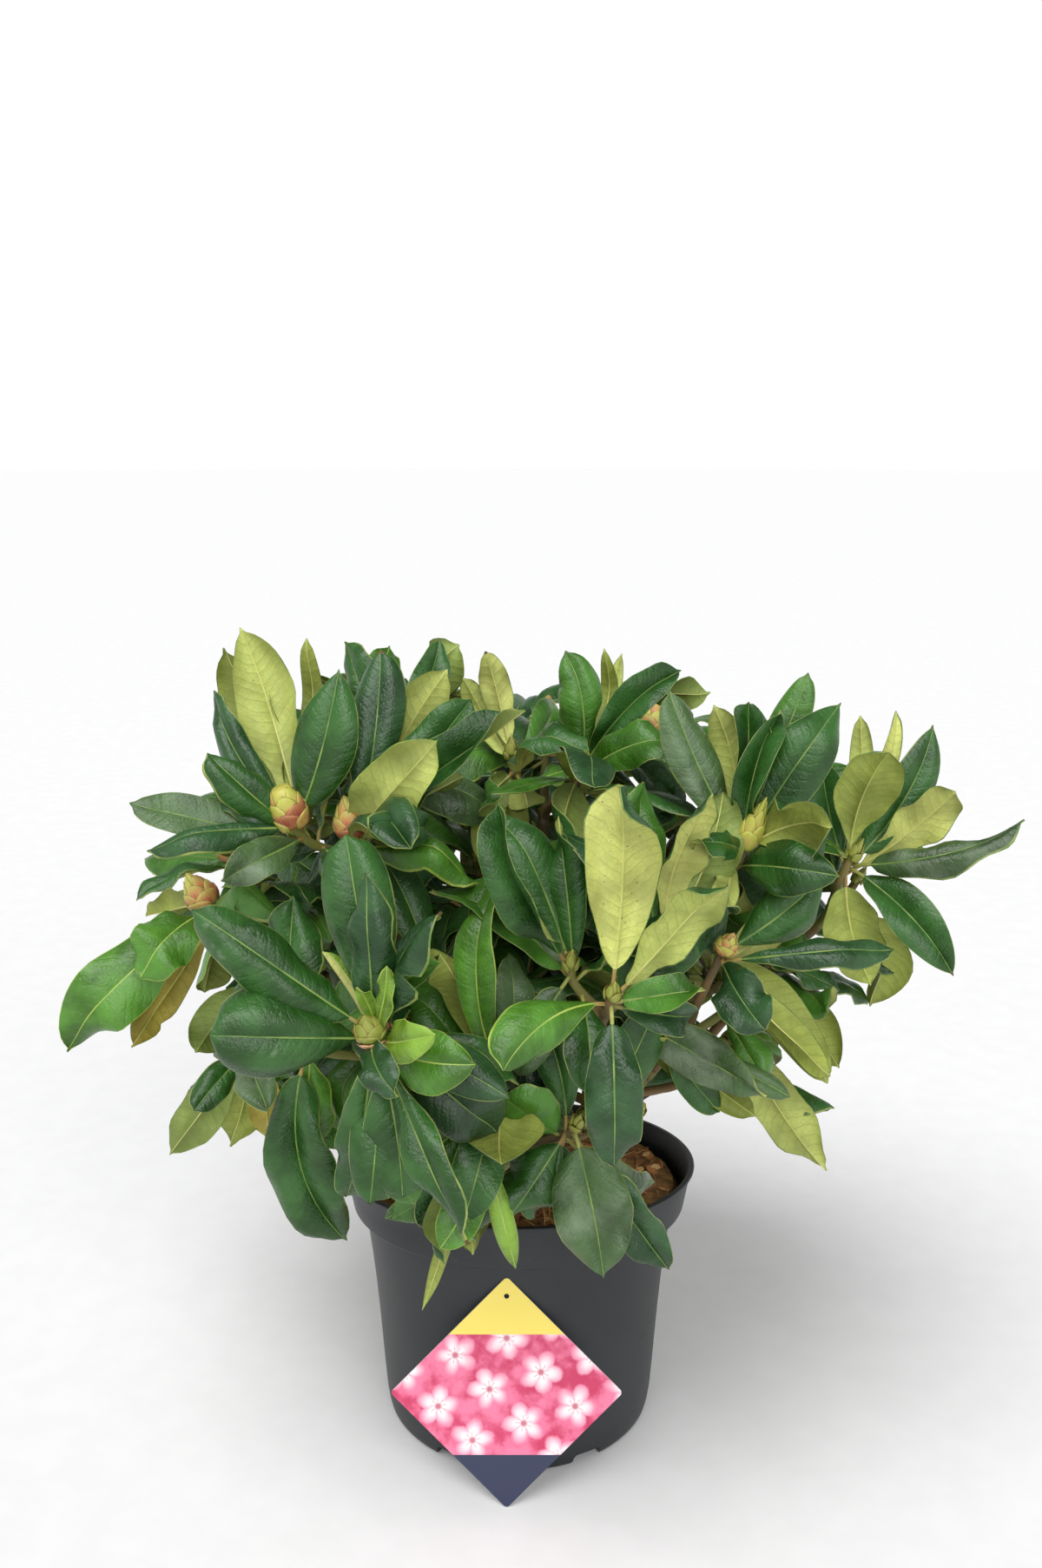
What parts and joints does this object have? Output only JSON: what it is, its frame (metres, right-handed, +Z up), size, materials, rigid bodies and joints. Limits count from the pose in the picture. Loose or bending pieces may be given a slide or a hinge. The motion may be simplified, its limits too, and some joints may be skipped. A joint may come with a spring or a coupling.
{
  "type": "potted rhododendron shrub",
  "caption": "Young evergreen rhododendron shrub with whorls of broad leaves and fat flower buds, standing in a black nursery pot of bark compost with a leaning label card.",
  "frame": {"origin": "centre of the flat pad in the middle of the pot's underside", "axes": "+Z up, -Y towards the front where the label card leans on the pot, +X to the right seen from the front"},
  "size_m": [0.6996, 0.6188, 0.6679],
  "materials": {
    "pot_plastic": "satin charcoal-black moulded plastic, a little scuffed",
    "compost": "loose brown bark and peat fibre",
    "card": "glossy printed card with plain colour bands and simple blossoms",
    "bark": "rough brown bark, yellow-green to red-brown on young wood",
    "foliage": "dark green glossy leaves with pale ribs, and pale yellow-green undersides"
  },
  "bodies": {
    "root": {"pot": "pot_plastic", "compost": "compost", "label_card": "card", "trunk": "bark", "bough_top_centre": "bark", "foliage_top_centre": "foliage", "bough_upper_left": "bark", "foliage_upper_left": "foliage", "bough_left": "bark", "foliage_left": "foliage", "bough_front_left": "bark", "foliage_front_left": "foliage", "bough_lower_left": "bark", "foliage_lower_left": "foliage", "bough_front_centre": "bark", "foliage_front_centre": "foliage", "bough_low_front": "bark", "foliage_low_front": "foliage", "bough_upper_right": "bark", "foliage_upper_right": "foliage", "bough_right": "bark", "foliage_right": "foliage", "bough_lower_right": "bark", "foliage_lower_right": "foliage", "bough_side_right": "bark", "foliage_side_right": "foliage", "bough_back_top_left": "bark", "foliage_back_top_left": "foliage", "bough_back_left": "bark", "foliage_back_left": "foliage", "bough_back_top_right": "bark", "foliage_back_top_right": "foliage", "bough_back_right": "bark", "foliage_back_right": "foliage", "bough_back_centre": "bark", "foliage_back_centre": "foliage", "bough_back_low_left": "bark", "foliage_back_low_left": "foliage", "bough_back_low_right": "bark", "foliage_back_low_right": "foliage"}
  },
  "joints": []
}
